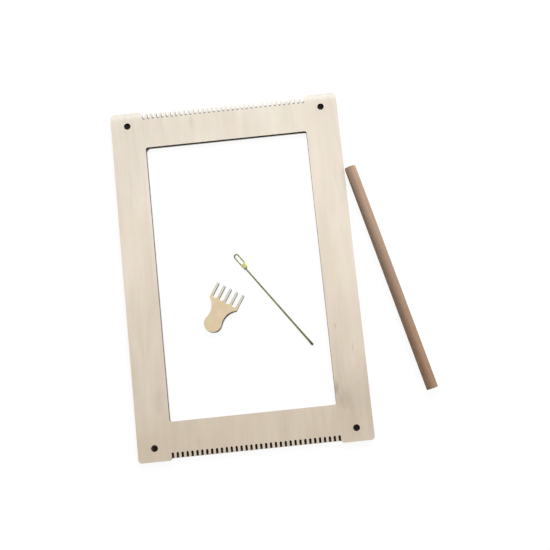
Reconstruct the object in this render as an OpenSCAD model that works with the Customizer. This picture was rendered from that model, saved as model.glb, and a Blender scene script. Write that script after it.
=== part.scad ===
// Flat frame loom with its weaving comb, needle and dowel, laid out on a table.
// The board lies on its back: X runs across it, Y towards its far end, Z out of its face.
// The origin is on the back face, in the middle of the four corner holes.

/* [Board] */
// Width of the board, side to side
loom_w = 241; // [232:0.5:256]
// Length of the board, over the corner lugs
loom_l = 367; // [340:0.5:400]
// Thickness of the plywood that the board and the comb are cut from
ply_t = 6; // [4:0.1:8]
// Thickness of each outer veneer of the plywood
veneer_t = 1.2; // [0.6:0.1:1.5]

/* [Window] */
// Width of the left bar
left_bar_w = 35; // [30:0.1:40]
// Width of the right bar
right_bar_w = 35; // [30:0.1:40]
// Width of the far bar, from the window to the lug ends
top_bar_w = 38.8; // [32:0.1:46]
// Width of the near bar, from the window to the lug ends
bottom_bar_w = 39; // [32:0.1:46]
// Radius of the window's corners
window_r = 2.4; // [0.5:0.1:8]

/* [Warp slots] */
// Distance from one warp slot to the next
slot_pitch = 5; // [4:0.25:7]
// Width of a warp slot
slot_w = 2.4; // [1.5:0.1:3]
// Depth of a warp slot, from the tooth tips to its round root
slot_depth = 5.8; // [4.5:0.1:9]

/* [Corner lugs] */
// Least distance from the board's side to the centre of the first slot
lug_w = 35.5; // [30:0.25:45]
// How far a lug stands out past the tooth tips
lug_rise = 2.2; // [1:0.1:5]
// Radius of a lug's two corners
lug_r = 4; // [1:0.1:5]

/* [Corner holes] */
// Diameter of the four corner holes
hole_d = 7; // [4:0.1:10]
// Distance from the board's side to a hole's centre
hole_side = 17.4; // [12:0.1:22]
// Distance from a lug's end to a hole's centre
hole_end = 13.8; // [10:0.1:18]

/* [Comb] */
// Number of tines
tine_count = 5; // [4:1:7]
// Width of a tine
tine_w = 2.6; // [2.4:0.1:4]
// Gap between two tines
tine_gap = 4.7; // [3:0.1:5]
// Length of a tine, from the round root of a gap to the tip
tine_l = 16; // [10:0.1:24]
// Radius of a tine's tip corners
tip_r = 0.8; // [0.2:0.1:1.1]
// Diameter of the comb's round grip
grip_d = 18.4; // [16:0.1:22]
// Width of the comb at its waist
waist_w = 15.8; // [12:0.1:18]
// Radius of the hollow curve from the grip over the waist to the head
waist_r = 17; // [14:0.5:20]
// Depth of the comb's head at its sides, from the hollow curve to the roots of the gaps
head_edge = 1.8; // [0.5:0.1:6]
// Across the board from its middle to the middle of the grip
comb_x = -32.3; // [-45:0.1:-20]
// Along the board from its middle to the middle of the grip
comb_y = -48.5; // [-80:0.1:0]
// Turn of the comb on the table, in degrees
comb_turn = -33; // [-60:1:0]

/* [Needle] */
// Diameter of the needle's shank at the collar
shank_d = 1.8; // [1.2:0.1:2.2]
// Diameter of the shank where the blunt end begins
shank_end_d = 2.4; // [2.2:0.1:2.7]
// Length of the shank that shows, from the collar to the tip
shank_l = 105.7; // [60:0.1:120]
// Diameter of the blunt end
blunt_d = 2.8; // [2.8:0.1:3.4]
// Length of the thicker blunt end
blunt_l = 6.5; // [5:0.5:15]
// Width of the collar where it holds the eye
collar_w = 6.4; // [6.4:0.1:8]
// Width of the collar where it holds the shank
collar_end_w = 3; // [3:0.1:4]
// Thickness of the collar
collar_t = 2.8; // [2.4:0.1:3]
// Length of the collar
collar_l = 6.2; // [6:0.1:12]
// Length of the collar's taper down to the shank
collar_taper = 2.6; // [1:0.1:3]
// Depth to which the shank and the legs of the eye are set in the collar
socket_l = 2.8; // [1:0.1:2.9]
// Diameter of the wire of the eye
wire_d = 1.5; // [0.8:0.1:1.8]
// Width of the eye over its wire
eye_w = 6; // [4.5:0.1:6]
// Length of the eye, from the collar to its outer end
eye_l = 13.3; // [8:0.1:20]
// How far the eye stands beside the line of the shank
eye_shift = 1; // [0:0.1:1.2]
// Across the board from its middle to the end of the collar that holds the shank
needle_x = 7.4; // [0:0.1:20]
// Along the board from its middle to the end of the collar that holds the shank
needle_y = 5; // [-10:0.1:40]
// Turn of the needle on the table, in degrees
needle_turn = 35.3; // [20:0.1:45]

/* [Dowel] */
// Diameter of the dowel
dowel_d = 12; // [8:0.5:20]
// Length of the dowel
dowel_l = 246; // [150:1:320]
// Bevel round the dowel's ends
dowel_bevel = 0.5; // [0.2:0.1:1.5]
// Gap between the board's side and the near end of the dowel
dowel_gap = 0.4; // [0.3:0.1:20]
// Along the board from its middle to the dowel's middle
dowel_y = -18.6; // [-60:0.1:60]
// Turn of the dowel on the table, in degrees
dowel_turn = 13.6; // [0:0.1:40]

/* [Hidden] */

$fn = 72;
// Extra length that lets a cut run clear of a face
past = 1;
// Clearance round the shank and the wire in the collar's sockets
solder_gap = 0.03;

core_t = ply_t - 2 * veneer_t;
face_z = ply_t - veneer_t;
core_z = veneer_t;

// Edges of the window, from the middle of the board
window_left = -loom_w / 2 + left_bar_w;
window_right = loom_w / 2 - right_bar_w;
window_top = loom_l / 2 - top_bar_w;
window_bottom = -loom_l / 2 + bottom_bar_w;

// The slots fill the room between the lugs and are centred on the board
slot_count = floor((loom_w - 2 * lug_w) / slot_pitch + 0.001) + 1;
slot_row = (slot_count - 1) * slot_pitch;
teeth_y = loom_l / 2 - lug_rise;
slot_root_y = teeth_y - slot_depth;
lug_inner = slot_row / 2 + slot_w / 2;

hole_x = loom_w / 2 - hole_side;
hole_y = loom_l / 2 - hole_end;

// The comb is drawn with the middle of its grip at the origin and its tines along +Y
grip_r = grip_d / 2;
head_w = tine_count * tine_w + (tine_count - 1) * tine_gap;
hollow_x = waist_w / 2 + waist_r;
hollow_y = sqrt(pow(grip_r + waist_r, 2) - pow(hollow_x, 2));
// Where the hollow curve leaves the grip, and where it meets the side of the head
grip_end_y = hollow_y * grip_r / (grip_r + waist_r);
head_side_y = hollow_y + sqrt(pow(waist_r, 2) - pow(hollow_x - head_w / 2, 2));
gap_root_y = head_side_y + head_edge;
tip_y = gap_root_y + tine_l;

// The needle is drawn with its shank along -Y, the collar's narrow end at the origin and the eye along +Y
leg_x = (eye_w - wire_d) / 2;
leg_y = collar_l - socket_l;
bend_y = collar_l + eye_l - eye_w / 2;
needle_z = max(blunt_d, collar_t) / 2;
blunt_r = blunt_d / 2;
// Length over which the shank swells to its blunt end
swell_l = 3;

dowel_r = dowel_d / 2;
dowel_x = loom_w / 2 + dowel_gap + dowel_r * cos(dowel_turn) + dowel_l / 2 * sin(dowel_turn);

// A rectangle from one corner to the opposite one, with its corners rounded
module rounded_rect(from, to, r) {
    translate([from.x + r, from.y]) square([to.x - from.x - 2 * r, to.y - from.y]);
    translate([from.x, from.y + r]) square([to.x - from.x, to.y - from.y - 2 * r]);
    for (x = [from.x + r, to.x - r], y = [from.y + r, to.y - r]) {
        translate([x, y]) circle(r = r);
    }
}

// A cut of width w from y out to end, closed by a round root
module slot(w, y, end) {
    translate([0, y + w / 2]) circle(d = w);
    translate([-w / 2, y + w / 2]) square([w, end - y - w / 2]);
}

// The board's outline without its cuts
module board_blank() {
    square([loom_w, 2 * slot_root_y], center = true);
    square([2 * lug_inner, 2 * teeth_y], center = true);
    for (side = [0, 1], end = [0, 1]) {
        mirror([side, 0]) mirror([0, end])
            rounded_rect([lug_inner, window_top], [loom_w / 2, loom_l / 2], lug_r);
    }
}

module board_outline() {
    difference() {
        board_blank();
        rounded_rect([window_left, window_bottom], [window_right, window_top], window_r);
        for (i = [0 : slot_count - 1], end = [0, 1]) {
            mirror([0, end]) translate([i * slot_pitch - slot_row / 2, 0])
                slot(slot_w, slot_root_y, teeth_y + past);
        }
        for (x = [-hole_x, hole_x], y = [-hole_y, hole_y]) {
            translate([x, y]) circle(d = hole_d);
        }
    }
}

module comb_outline() {
    difference() {
        union() {
            circle(r = grip_r);
            translate([-head_w / 2, grip_end_y]) square([head_w, tip_y - tip_r - grip_end_y]);
            for (i = [0 : tine_count - 1]) {
                left = i * (tine_w + tine_gap) - head_w / 2;
                rounded_rect([left, gap_root_y], [left + tine_w, tip_y], tip_r);
            }
        }
        for (side = [-1, 1]) {
            translate([side * hollow_x, hollow_y]) circle(r = waist_r);
        }
        for (i = [0 : tine_count - 2]) {
            translate([i * (tine_w + tine_gap) + tine_w + tine_gap / 2 - head_w / 2, 0])
                slot(tine_gap, gap_root_y, tip_y + past);
        }
    }
}

// One ply of the comb, where the comb lies on the table
module comb_ply(z, t) {
    translate([comb_x, comb_y, z]) rotate(comb_turn) linear_extrude(t) comb_outline();
}

module place_needle() {
    translate([needle_x, needle_y, needle_z]) rotate(needle_turn) children();
}

// The eye's own middle line, beside the shank's
module place_eye() {
    place_needle() translate([eye_shift, 0, 0]) children();
}

// A round rod along +Y, its end at x, y
module rod(d, l, x, y) {
    translate([x, y, 0]) rotate([-90, 0, 0]) cylinder(d = d, h = l);
}

module loom_face_veneer() {
    color("antiquewhite") translate([0, 0, face_z]) linear_extrude(veneer_t) board_outline();
}

module loom_core() {
    color("saddlebrown") translate([0, 0, core_z]) linear_extrude(core_t) board_outline();
}

module loom_back_veneer() {
    color("blanchedalmond") linear_extrude(veneer_t) board_outline();
}

module comb_face_veneer() {
    color("wheat") comb_ply(face_z, veneer_t);
}

module comb_core() {
    color("peru") comb_ply(core_z, core_t);
}

module comb_back_veneer() {
    color("burlywood") comb_ply(0, veneer_t);
}

// Wire that thickens evenly along its length and swells to a blunt, round tip
module needle_shank() {
    thick = shank_l - blunt_l;
    color("darkkhaki") place_needle() rotate([90, 0, 0]) rotate_extrude() {
        polygon([
            [0, -socket_l], [shank_d / 2, -socket_l], [shank_d / 2, 0],
            [shank_end_d / 2, thick], [blunt_r, thick + swell_l], [0, thick + swell_l]
        ]);
        translate([0, thick + swell_l]) square([blunt_r, blunt_l - swell_l - blunt_r]);
        intersection() {
            translate([0, shank_l - blunt_r]) circle(r = blunt_r);
            translate([0, shank_l - blunt_r]) square(blunt_d);
        }
    }
}

// Flattened sleeve that holds the shank at one end and the two legs of the eye at the other
module needle_collar() {
    wide_x = (collar_w - collar_t) / 2;
    end_x = (collar_end_w - collar_t) / 2;
    color("gold") place_needle() difference() {
        hull() {
            for (side = [-1, 1]) {
                rod(collar_t, collar_l - collar_taper, eye_shift + side * wide_x, collar_taper);
                rod(collar_t, collar_taper, side * end_x, 0);
            }
        }
        rod(shank_d + 2 * solder_gap, socket_l + past, 0, -past);
        for (side = [-1, 1]) {
            rod(wire_d + 2 * solder_gap, socket_l + past, eye_shift + side * leg_x, leg_y);
        }
    }
}

// Wire bent into a long loop, its two legs set in the collar
module needle_eye() {
    color("darkgoldenrod") place_eye() {
        for (side = [-1, 1]) {
            rod(wire_d, bend_y - leg_y, side * leg_x, leg_y);
        }
        translate([0, bend_y, 0]) rotate_extrude(angle = 180) translate([leg_x, 0]) circle(d = wire_d);
    }
}

module dowel() {
    half = dowel_l / 2;
    profile = [
        [0, -half], [dowel_r - dowel_bevel, -half], [dowel_r, -half + dowel_bevel],
        [dowel_r, half - dowel_bevel], [dowel_r - dowel_bevel, half], [0, half]
    ];
    color("rosybrown") translate([dowel_x, dowel_y, dowel_r])
        rotate([90, 0, dowel_turn]) rotate_extrude() polygon(profile);
}

loom_face_veneer();
loom_core();
loom_back_veneer();
comb_face_veneer();
comb_core();
comb_back_veneer();
needle_shank();
needle_collar();
needle_eye();
dowel();
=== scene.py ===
# Frame loom set: finishes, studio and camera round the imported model.
import math

import bpy
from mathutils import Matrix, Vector


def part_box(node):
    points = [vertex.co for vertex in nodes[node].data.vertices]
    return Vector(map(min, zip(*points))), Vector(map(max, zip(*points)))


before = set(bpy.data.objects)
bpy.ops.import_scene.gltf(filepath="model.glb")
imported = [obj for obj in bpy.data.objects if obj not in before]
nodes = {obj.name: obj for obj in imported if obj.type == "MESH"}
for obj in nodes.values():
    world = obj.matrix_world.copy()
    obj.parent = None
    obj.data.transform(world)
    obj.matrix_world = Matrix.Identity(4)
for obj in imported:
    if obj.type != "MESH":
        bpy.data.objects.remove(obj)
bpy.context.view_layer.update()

MM = 0.001
WHITE = (1, 1, 1)
BLACK = (0, 0, 0)


# Shader helpers

class Shader:
    """Adds nodes to one material and links them. An input is a number, a colour, a vector or another node's socket."""

    def __init__(self, name=None, tree=None, out="ShaderNodeOutputMaterial"):
        if name:
            self.material = bpy.data.materials.new(name)
            self.material.use_nodes = True
        self.tree = tree or self.material.node_tree
        self.tree.nodes.clear()
        self.out = self.tree.nodes.new(out)

    def add(self, kind, inputs=(), output=0, **settings):
        node = self.tree.nodes.new("ShaderNode" + kind)
        for name, value in settings.items():
            setattr(node, name, value)
        for key, value in dict(inputs).items():
            self.set(node.inputs[key], value)
        return node.outputs[output]

    def set(self, socket, value):
        if isinstance(value, bpy.types.NodeSocket):
            self.tree.links.new(value, socket)
        elif isinstance(value, (tuple, list)) and socket.type == "RGBA":
            socket.default_value = (*value[:3], 1.0)
        else:
            socket.default_value = value

    def math(self, operation, *values, clamp=False):
        return self.add("Math", enumerate(values), operation=operation, use_clamp=clamp)

    def coords(self, turn=0.0, scale=(1, 1, 1), offset=(0, 0, 0)):
        """The object's own coordinates, turned by -turn about Z so that Y runs along the grain, then scaled."""
        here = self.add("TexCoord", output="Object")
        if turn:
            here = self.add("VectorRotate", {"Vector": here, "Angle": -turn}, rotation_type="Z_AXIS")
        return self.add("Mapping", {"Vector": here, "Scale": scale, "Location": offset})

    def noise(self, vector, detail=2.0, roughness=0.5, distortion=0.0):
        return self.add("TexNoise", {"Vector": vector, "Scale": 1.0, "Detail": detail,
                                     "Roughness": roughness, "Distortion": distortion})

    def range(self, value, low, high, to_low=0.0, to_high=1.0, smooth=False):
        kind = "SMOOTHSTEP" if smooth else "LINEAR"
        return self.add("MapRange", {0: value, 1: low, 2: high, 3: to_low, 4: to_high}, interpolation_type=kind)

    def mix(self, factor, a, b, blend="MIX"):
        return self.add("Mix", {0: factor, 6: a, 7: b}, output=2, data_type="RGBA", blend_type=blend)

    def ramp(self, factor, stops):
        node = self.tree.nodes.new("ShaderNodeValToRGB")
        self.set(node.inputs[0], factor)
        ends = node.color_ramp.elements
        while len(ends) < len(stops):
            ends.new(0.5)
        for end, (place, colour) in zip(ends, stops):
            end.position = place
            end.color = (*colour, 1.0)
        return node.outputs[0]

    def lengthwise(self, colour, turn, span, stops):
        """Multiplies a colour by a ramp that runs along the piece, between two places on its own length."""
        along = self.add("SeparateXYZ", {0: self.coords(turn)}, output="Y")
        return self.mix(1.0, colour, self.ramp(self.range(along, *span), stops), "MULTIPLY")

    def bump(self, height, distance, strength=1.0):
        return self.add("Bump", {"Height": height, "Distance": distance, "Strength": strength})

    def finish(self, colour, roughness, normal=None, **extra):
        inputs = {"Base Color": colour, "Roughness": roughness, **extra}
        if normal is not None:
            inputs["Normal"] = normal
        self.set(self.out.inputs[0], self.add("BsdfPrincipled", inputs))
        return self.material


def veneer(name, tones, turn=0.0, seed=0.0, marks=(), shade_along=()):
    """Raw sanded veneer: cloudy figure, fine fibres and short pores, all along the grain."""
    s = Shader(name)
    figure = s.noise(s.coords(turn, (46, 6, 1), (seed, seed, 0)), 3, 0.55, 0.9)
    bands = s.noise(s.coords(turn, (190, 16, 1), (seed, 0, seed)), 3, 0.6, 0.4)
    fibres = s.noise(s.coords(turn, (1500, 42, 1), (0, seed, 0)), 2, 0.6)
    pores = s.noise(s.coords(turn, (1900, 330, 1), (seed, seed, 0)), 1, 0.5)
    cloud = s.noise(s.coords(turn, (24, 13, 1), (seed * 2, 0, 0)), 3, 0.5)
    blush = s.noise(s.coords(turn, (62, 34, 1), (0, seed * 3, 0)), 3, 0.6)
    blend = s.math("ADD", s.math("MULTIPLY", figure, 0.6), s.math("MULTIPLY", bands, 0.4))
    colour = s.ramp(s.range(blend, 0.34, 0.66), [(0.0, tones[0]), (0.5, tones[1]), (1.0, tones[2])])
    colour = s.mix(s.range(cloud, 0.38, 0.7, 0.0, 0.6), colour, tones[3])
    colour = s.mix(1.0, colour, s.mix(s.range(blush, 0.34, 0.66), PINK, SALLOW), "MULTIPLY")
    # Painted shade and light along the piece's length, if given
    if shade_along:
        colour = s.lengthwise(colour, turn, *shade_along)
    colour = s.mix(s.range(fibres, 0.3, 0.75, 0.0, 0.16), colour, tones[4])
    colour = s.mix(s.range(pores, 0.66, 0.78, 0.0, 0.3), colour, tones[4])
    for x, y, wide, long, depth, tone in marks:
        spot = s.add("Mapping", {"Vector": s.coords(turn), "Location": (-x / wide, -y / long, 0),
                                 "Scale": (1 / wide, 1 / long, 0)})
        wobble = s.math("MULTIPLY", s.noise(s.coords(0, (300, 110, 1), (seed, 0, 0)), 3), 0.9)
        reach = s.math("ADD", s.add("VectorMath", {0: spot}, output="Value", operation="LENGTH"), wobble)
        colour = s.mix(s.range(reach, 0.5, 1.5, depth, 0.0, smooth=True), colour, tone)
    height = s.math("ADD", fibres, s.math("MULTIPLY", pores, 0.6))
    return s.finish(colour, s.range(fibres, 0.2, 0.8, 0.56, 0.74), s.bump(height, 0.00004, 0.5))


def burnt_edge(name, low, high, bands, seed=0.0):
    """Laser-cut edge between the heights low and high: charred, with upright cut lines and its plies showing."""
    s = Shader(name)
    up = s.add("SeparateXYZ", {0: s.coords()}, output="Z")
    wander = s.noise(s.coords(0, (260, 260, 260), (seed, 0, 0)), 2)
    place = s.math("ADD", s.range(up, low, high), s.math("MULTIPLY", s.math("SUBTRACT", wander, 0.5), 0.16))
    colour = s.ramp(place, bands)
    lines = s.noise(s.coords(0, (2600, 2600, 170), (0, seed, 0)), 2, 0.6)
    patches = s.noise(s.coords(0, (45, 45, 45), (seed, seed, 0)), 3, 0.6)
    colour = s.mix(s.range(lines, 0.42, 0.72, 0.0, 0.6), colour, SOOT)
    colour = s.mix(s.range(patches, 0.55, 0.85, 0.0, 0.3), colour, SINGED)
    return s.finish(colour, 0.8, s.bump(lines, 0.00012, 0.6), **{"Specular IOR Level": 0.15})


def rod_wood(name, tones, turn, ends=False):
    """Close-grained brown wood along the dowel, with short flecks; its ends show the rings."""
    s = Shader(name)
    if ends:
        rings = s.add("TexWave", {"Vector": s.coords(turn, (1, 0, 1), (0.03, 0, 0.02)), "Scale": 220.0,
                                  "Distortion": 1.2, "Detail": 2.0, "Detail Scale": 3.0},
                      output="Fac", wave_type="RINGS", rings_direction="Y")
        pores = s.noise(s.coords(turn, (2200, 2200, 2200)), 2)
        colour = s.ramp(rings, [(0.0, tones[0]), (1.0, tones[3])])
        colour = s.mix(s.range(pores, 0.55, 0.75, 0.0, 0.6), colour, tones[4])
        return s.finish(colour, 0.85, s.bump(pores, 0.0002, 0.5))
    figure = s.noise(s.coords(turn, (150, 4, 150)), 3, 0.55, 0.8)
    bands = s.noise(s.coords(turn, (700, 16, 700), (3, 0, 0)), 3, 0.6)
    fibres = s.noise(s.coords(turn, (3000, 90, 3000)), 2, 0.6)
    flecks = s.noise(s.coords(turn, (2600, 380, 2600), (0, 7, 0)), 1)
    blend = s.math("ADD", s.math("MULTIPLY", figure, 0.5), s.math("MULTIPLY", bands, 0.5))
    colour = s.ramp(s.range(blend, 0.33, 0.68), [(0.0, tones[0]), (0.35, tones[1]), (0.7, tones[2]), (1.0, tones[3])])
    colour = s.mix(s.range(fibres, 0.4, 0.8, 0.0, 0.3), colour, tones[4])
    colour = s.mix(s.range(flecks, 0.62, 0.74, 0.0, 0.55), colour, tones[4])
    # Painted shade along the dowel: darker towards its near end
    colour = s.lengthwise(colour, turn, *DOWEL_SHADE_ALONG)
    height = s.math("ADD", fibres, flecks)
    return s.finish(colour, s.range(fibres, 0.2, 0.8, 0.5, 0.68), s.bump(height, 0.00005, 0.5))


def brass(name, colour, dull, turn, roughness, drawn=True):
    """Plain yellow metal with drawing lines along the needle and a dull film in patches."""
    s = Shader(name)
    scale = (2500, 60, 2500) if drawn else (1400, 1400, 1400)
    lines = s.noise(s.coords(turn, scale), 2, 0.6)
    film = s.noise(s.coords(turn, (240, 60, 240)), 3, 0.6)
    tint = s.mix(s.range(film, 0.4, 0.75, 0.0, 0.8), colour, dull)
    # Painted shade along the needle: a dark line at the collar's joint and darker ends
    tint = s.lengthwise(tint, turn, *NEEDLE_SHADE_BANDS)
    rough = s.math("ADD", s.range(lines, 0.3, 0.7, 0.0, 0.12), s.range(film, 0.4, 0.8, roughness, roughness + 0.14))
    return s.finish(tint, rough, s.bump(lines, 0.00003, 0.5), Metallic=1.0)


# Finishes

BOARD_TONES = [(0.875, 0.80, 0.69), (0.825, 0.75, 0.64), (0.745, 0.67, 0.565),
               (0.765, 0.655, 0.545), (0.63, 0.54, 0.43)]
COMB_TONES = [(0.84, 0.72, 0.50), (0.775, 0.655, 0.435), (0.70, 0.58, 0.37),
              (0.76, 0.60, 0.41), (0.55, 0.43, 0.25)]
DOWEL_TONES = [(0.32, 0.21, 0.145), (0.405, 0.27, 0.19), (0.465, 0.32, 0.22),
               (0.555, 0.39, 0.275), (0.16, 0.10, 0.065)]
PINK = (1.0, 0.972, 0.99)
SALLOW = (0.975, 0.985, 0.96)

COMB_TURN = math.radians(-33)
NEEDLE_TURN = math.radians(35.3)
DOWEL_TURN = math.radians(13.6)

# Change of colour along a piece: between which two places on its own length, and the colour there
# Painted shade and light along the board: darker and warmer towards the near end, where less light falls, and greyer
# and bluer near the far end, as under cooler light.
BOARD_SHADE_ALONG = ((-0.1835, 0.1835), [(0.04, (0.90, 0.87, 0.83)), (0.23, (0.95, 0.94, 0.92)), (0.5, (0.995, 0.995, 0.995)),
                              (0.69, (0.98, 0.99, 1.0)), (0.83, (0.945, 0.96, 0.985)), (0.95, (0.865, 0.885, 0.895)),
                              (0.975, (0.865, 0.885, 0.895)), (0.985, (0.90, 0.93, 0.96))])
# Painted shade along the dowel: darker and warmer towards its near end, where less light falls.
DOWEL_SHADE_ALONG = ((-0.1777, 0.0683), [(0.1, (0.82, 0.71, 0.625)), (0.5, (0.833, 0.82, 0.81)), (0.9, WHITE)])
# Painted shade along the needle: a dark line where the wire meets the collar, and darker near both ends.
NEEDLE_SHADE_BANDS = ((-0.106, 0.0195), [(0.045, (0.55,) * 3), (0.075, WHITE), (0.838, WHITE), (0.848, (0.2,) * 3),
                              (0.858, WHITE), (0.94, WHITE), (0.985, (0.5,) * 3)])

# Marks in a face: x across the grain, y along it, half width, half length, depth, tone.
# PALE_EDGE and PALE_TINES follow the photograph's light rather than the wood's own colour.
# Dark tone for smudges on the wood and for broad painted shade on the board's face
SMUDGE_AND_SHADE = (0.30, 0.235, 0.18)
PALE_EDGE = (0, 0.181, 0.4, 0.0045, 0.5, (0.88, 0.87, 0.82))
PALE_TINES = (-0.0007, -0.021, 0.05, 0.0145, 1.0, (0.66, 0.67, 0.63))
# The small dark marks by the window's near right corner are smudges on the wood. The broad faint ones at the far left,
# near left and near right, and the olive patch at the near left corner, are painted shade where less light falls on
# the face.
BOARD_MARKS = [(0.0928, -0.064, 0.0016, 0.004, 0.3, SMUDGE_AND_SHADE), (0.0872, -0.126, 0.004, 0.011, 0.45, SMUDGE_AND_SHADE),
               (0.094, -0.140, 0.013, 0.014, 0.20, SMUDGE_AND_SHADE), (0.1085, -0.088, 0.0018, 0.006, 0.3, SMUDGE_AND_SHADE),
               (0.113, -0.098, 0.005, 0.02, 0.3, (0.70, 0.53, 0.36)), (0.108, -0.14, 0.035, 0.045, 0.15, SMUDGE_AND_SHADE),
               (-0.096, -0.122, 0.010, 0.02, 0.16, SMUDGE_AND_SHADE), (-0.035, 0.166, 0.004, 0.014, 0.2, SMUDGE_AND_SHADE),
               PALE_EDGE, (-0.104, 0.125, 0.03, 0.05, 0.09, SMUDGE_AND_SHADE),
               (-0.108, -0.165, 0.02, 0.02, 0.08, (0.42, 0.34, 0.16))]
COMB_MARKS = [PALE_TINES,
              (0.0035, -0.061, 0.005, 0.006, 0.6, (0.82, 0.60, 0.36)),
              (-0.0045, -0.057, 0.0045, 0.007, 0.6, (0.74, 0.70, 0.40)),
              (0.001, -0.047, 0.007, 0.006, 0.45, (0.86, 0.69, 0.55))]

SOOT = (0.008, 0.005, 0.004)
SINGED = (0.11, 0.063, 0.034)
CHAR = (0.010, 0.007, 0.005)
SCORCH = (0.028, 0.017, 0.010)
TOAST = (0.046, 0.028, 0.016)
FACE_BANDS = [(0.0, CHAR), (0.25, SCORCH), (0.8, SCORCH), (1.0, TOAST)]
CORE_BANDS = [(0.0, CHAR), (0.06, SCORCH), (0.30, SCORCH), (0.34, CHAR), (0.38, TOAST), (0.62, TOAST),
              (0.66, CHAR), (0.70, SCORCH), (0.95, SCORCH), (1.0, CHAR)]
BACK_BANDS = [(0.0, TOAST), (0.3, SCORCH), (1.0, CHAR)]

LOW, HIGH = (corner.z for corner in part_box("loom_core"))
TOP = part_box("loom_face_veneer")[1].z
board_core_edge = burnt_edge("board core edge", LOW, HIGH, CORE_BANDS, 3)
comb_core_edge = burnt_edge("comb core edge", LOW, HIGH, CORE_BANDS, 8)
PLIES = {
    "loom_face_veneer": (veneer("board face", BOARD_TONES, 0, 1.7, BOARD_MARKS, BOARD_SHADE_ALONG),
                         burnt_edge("board face edge", HIGH, TOP, FACE_BANDS, 1)),
    "loom_core": (board_core_edge, board_core_edge),
    "loom_back_veneer": (veneer("board back", BOARD_TONES, 0, 5.3),
                         burnt_edge("board back edge", 0, LOW, BACK_BANDS, 2)),
    "comb_face_veneer": (veneer("comb face", COMB_TONES, COMB_TURN, 9.1, COMB_MARKS),
                         burnt_edge("comb face edge", HIGH, TOP, FACE_BANDS, 6)),
    "comb_core": (comb_core_edge, comb_core_edge),
    "comb_back_veneer": (veneer("comb back", COMB_TONES, COMB_TURN, 12.4),
                         burnt_edge("comb back edge", 0, LOW, BACK_BANDS, 7)),
}
METALS = {
    "needle_shank": brass("needle wire", (0.36, 0.36, 0.20), (0.22, 0.22, 0.13), NEEDLE_TURN, 0.26),
    "needle_collar": brass("needle collar", (0.88, 0.85, 0.42), (0.66, 0.64, 0.28), NEEDLE_TURN, 0.46, drawn=False),
    "needle_eye": brass("eye wire", (0.46, 0.45, 0.22), (0.28, 0.28, 0.15), NEEDLE_TURN, 0.26),
}


def dress(node, flat, side, along=Vector((0, 0, 1))):
    """Gives a node's flat faces one material and its sides another; along is the flat faces' normal."""
    mesh = nodes[node].data
    mesh.materials.clear()
    mesh.materials.append(flat)
    mesh.materials.append(side)
    for face in mesh.polygons:
        face.material_index = 0 if abs(face.normal.dot(along)) > 0.9 else 1


for node, (flat, side) in PLIES.items():
    dress(node, flat, side)
for node, metal in METALS.items():
    dress(node, metal, metal)
dress("dowel", rod_wood("dowel end", DOWEL_TONES, DOWEL_TURN, ends=True),
      rod_wood("dowel side", DOWEL_TONES, DOWEL_TURN),
      Vector((-math.sin(DOWEL_TURN), math.cos(DOWEL_TURN), 0)))


# Studio

STAGE_SIDES = 96
FLOOR_RADIUS = 9.0
BACKDROP_RADIUS = 8.9
BACKDROP_HEIGHT = 5.0
RING_AZIMUTH = 62
RING_BIAS = 0.9
RING_LEVEL = 1.02
RING_TINT = (1.0, 0.965, 0.92)
RING_RISE = (0.12, 0.34)
RING_FALL = (0.66, 0.86)
OVERHEAD = 0.06
FLOOR_COLOUR = (0.80, 0.80, 0.80)
FLOOR_WHITE = 0.92
FLOOR_SHADE = 0.16
CONTACT_REACH = 3 * MM
CONTACT_LEAN = (-0.50, 0.52, 0.69)
CONTACT_OPENNESS = (0.36, 0.50)
HOLE_GAIN = 0.8
SLOT_GAIN = 0.25
SLOT_DEPTH = 5.8 * MM
LUG_RISE = 2.2 * MM
FAR_SLOT_SHADE = [(0.36, WHITE), (0.52, (0.85,) * 3), (0.66, (0.3,) * 3), (0.84, BLACK)]

# Places on the floor: the window, its middle clear of the edges, and the comb's surroundings along its own length
WINDOW_BOX = (-0.0853, -0.1443), (0.0853, 0.1445)
WINDOW_MIDDLE = (-0.082, -0.141), (0.082, 0.141)
COMB_BOX = (-0.022, -0.072), (0.020, -0.0355)

PHOTO_PX = 550
FOCAL_PX = 1100
SENSOR_WIDTH = 36.0
CAMERA_PLACE = (0.03528, -0.17692, 1.13458)
CAMERA_TURN = (8.6175, 0.817, -5.8416)


def where_seen(s):
    """1 for a ray that shows the background, and 0 for one that only lights the object."""
    path = s.tree.nodes.new("ShaderNodeLightPath").outputs
    mirrored = s.math("MAXIMUM", path["Is Glossy Ray"], path["Is Transmission Ray"])
    return s.math("MAXIMUM", path["Is Camera Ray"], mirrored)


def in_box(s, low, high, soft, turn=0.0):
    """1 on the floor between two corners of a box turned by turn, and 0 outside, with an edge as wide as soft."""
    x, y = (s.add("SeparateXYZ", {0: s.coords(turn)}, output=axis) for axis in "XY")
    inside = 1.0
    for value, a, b in ((x, low[0], high[0]), (y, low[1], high[1])):
        inside = s.math("MULTIPLY", inside, s.range(value, a - soft / 2, a + soft / 2))
        inside = s.math("MULTIPLY", inside, s.range(value, b - soft / 2, b + soft / 2, 1.0, 0.0))
    return inside


def circle(radius, z):
    """The points of a level ring round the object."""
    turns = [2 * math.pi * i / STAGE_SIDES for i in range(STAGE_SIDES)]
    return [(radius * math.cos(a), radius * math.sin(a), z) for a in turns]


def stage_mesh(name, points, faces, material):
    """Adds a mesh that belongs to the stage and not to the object."""
    mesh = bpy.data.meshes.new(name)
    mesh.from_pydata(points, [], faces)
    mesh.materials.append(material)
    piece = bpy.data.objects.new(name, mesh)
    bpy.context.scene.collection.objects.link(piece)


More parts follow.
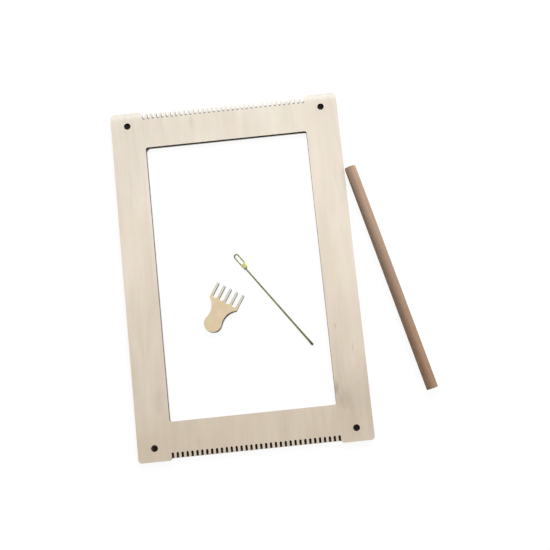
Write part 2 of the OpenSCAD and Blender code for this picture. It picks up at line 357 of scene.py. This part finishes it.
# Table: white to the camera, with a faint cast shadow, and painted shade on it under the board's slots and holes
s = Shader("white table")
low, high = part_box("loom_core")
tips, roots = high.y - LUG_RISE, high.y - LUG_RISE - SLOT_DEPTH
far = s.add("SeparateXYZ", {0: s.coords()}, output="Y")
far = s.ramp(s.range(far, roots, roots + 5 * MM), FAR_SLOT_SHADE)
window = in_box(s, *WINDOW_BOX, 0.4 * MM)
under = in_box(s, (low.x, -tips), (high.x, high.y), 0.6 * MM)
shaded = s.math("MULTIPLY", s.math("MULTIPLY", under, far), s.math("SUBTRACT", 1.0, window))
bars = in_box(s, (low.x, 2 * MM - roots), (high.x, roots - 2 * MM), 0.6 * MM)

# Painted shadow: a dark line on the table along the window's edge and the comb's, on the side away from the light,
# taken from ambient occlusion
by_comb = in_box(s, *COMB_BOX, MM, COMB_TURN)
by_edge = s.math("SUBTRACT", 1.0, in_box(s, *WINDOW_MIDDLE, MM))
zone = s.math("MULTIPLY", window, s.math("MAXIMUM", by_comb, by_edge))
lean = s.add("CombineXYZ", dict(zip("XYZ", CONTACT_LEAN)))
contact = s.add("AmbientOcclusion", {"Distance": CONTACT_REACH, "Normal": lean}, output="AO")
bare = s.math("SUBTRACT", 1.0, s.math("MULTIPLY", zone, s.range(contact, *CONTACT_OPENNESS, 1.0, 0.0)))

seen = where_seen(s)
clear = s.math("MULTIPLY", bare, s.math("SUBTRACT", 1.0, shaded))
glow = s.math("MULTIPLY", s.math("MULTIPLY", clear, seen), FLOOR_WHITE)
shade = s.range(bars, 0.0, 1.0, SLOT_GAIN, HOLE_GAIN)
gain = s.math("MULTIPLY", bare, s.range(shaded, 0.0, 1.0, FLOOR_SHADE, shade))
tint = s.add("VectorMath", {0: FLOOR_COLOUR, "Scale": s.range(seen, 0.0, 1.0, 1.0, gain)}, operation="SCALE")
white = s.add("Emission", {"Color": WHITE, "Strength": glow})
s.set(s.out.inputs[0], s.add("AddShader", {0: s.add("BsdfDiffuse", {"Color": tint}), 1: white}))
stage_mesh("floor", circle(FLOOR_RADIUS, 0), [tuple(range(STAGE_SIDES))], s.material)

# Backdrop that only the camera and reflections see
s = Shader("white backdrop")
s.set(s.out.inputs[0], s.add("MixShader", {0: where_seen(s), 1: s.add("BsdfTransparent"),
                                           2: s.add("Emission", {"Color": WHITE, "Strength": 1.0})}))
wall = [(i, (i + 1) % STAGE_SIDES, (i + 1) % STAGE_SIDES + STAGE_SIDES, i + STAGE_SIDES) for i in range(STAGE_SIDES)]
stage_mesh("backdrop", circle(BACKDROP_RADIUS, 0) + circle(BACKDROP_RADIUS, BACKDROP_HEIGHT), wall, s.material)


def direction(azimuth, elevation):
    """Unit vector towards a light: azimuth in degrees clockwise from +Y, elevation above the floor."""
    a, e = math.radians(azimuth), math.radians(elevation)
    return Vector((math.sin(a) * math.cos(e), math.cos(a) * math.cos(e), math.sin(e)))


# Room light: dim overhead, with a broad soft ring of light that is strongest at the far right
world = bpy.data.worlds.new("studio")
bpy.context.scene.world = world
world.use_nodes = True
w = Shader(tree=world.node_tree, out="ShaderNodeOutputWorld")
here = w.add("TexCoord", output="Generated")
up = w.add("SeparateXYZ", {0: here}, output="Z")
flat = w.add("VectorMath", {0: w.add("VectorMath", {0: here, 1: (1, 1, 0)}, operation="MULTIPLY")},
             operation="NORMALIZE")
toward = w.add("VectorMath", {0: flat, 1: direction(RING_AZIMUTH, 0)}, output="Value", operation="DOT_PRODUCT")
around = w.math("ADD", w.math("MULTIPLY", toward, RING_BIAS), 1.0)
rise = w.range(up, *RING_RISE, smooth=True)
fall = w.range(up, *RING_FALL, 1.0, 0.0, smooth=True)
ring = w.math("MULTIPLY", around, w.math("MULTIPLY", rise, fall))
level = w.math("ADD", w.math("MULTIPLY", ring, RING_LEVEL), OVERHEAD)
w.set(w.out.inputs[0], w.add("Background", {"Color": RING_TINT, "Strength": level}))


def softbox(name, azimuth, elevation, distance, size, power, colour):
    lamp = bpy.data.lights.new(name, "AREA")
    lamp.shape = "RECTANGLE"
    lamp.size, lamp.size_y = size
    lamp.energy = power
    lamp.color = colour
    piece = bpy.data.objects.new(name, lamp)
    way = direction(azimuth, elevation)
    piece.location = way * distance
    piece.rotation_mode = "QUATERNION"
    piece.rotation_quaternion = (-way).to_track_quat("-Z", "Y")
    bpy.context.scene.collection.objects.link(piece)


softbox("far window", 14, 38, 1.0, (0.7, 0.4), 7.6, (0.96, 0.985, 1.0))


# Camera at the photograph's place, for a square picture
camera = bpy.data.cameras.new("camera")
camera.sensor_fit = "HORIZONTAL"
camera.sensor_width = SENSOR_WIDTH
camera.lens = SENSOR_WIDTH * FOCAL_PX / PHOTO_PX
camera.clip_start, camera.clip_end = 0.05, 50.0
viewer = bpy.data.objects.new("camera", camera)
bpy.context.scene.collection.objects.link(viewer)
viewer.rotation_mode = "XYZ"
viewer.location = CAMERA_PLACE
viewer.rotation_euler = [math.radians(a) for a in CAMERA_TURN]
bpy.context.scene.camera = viewer
bpy.context.scene.view_settings.view_transform = "Standard"
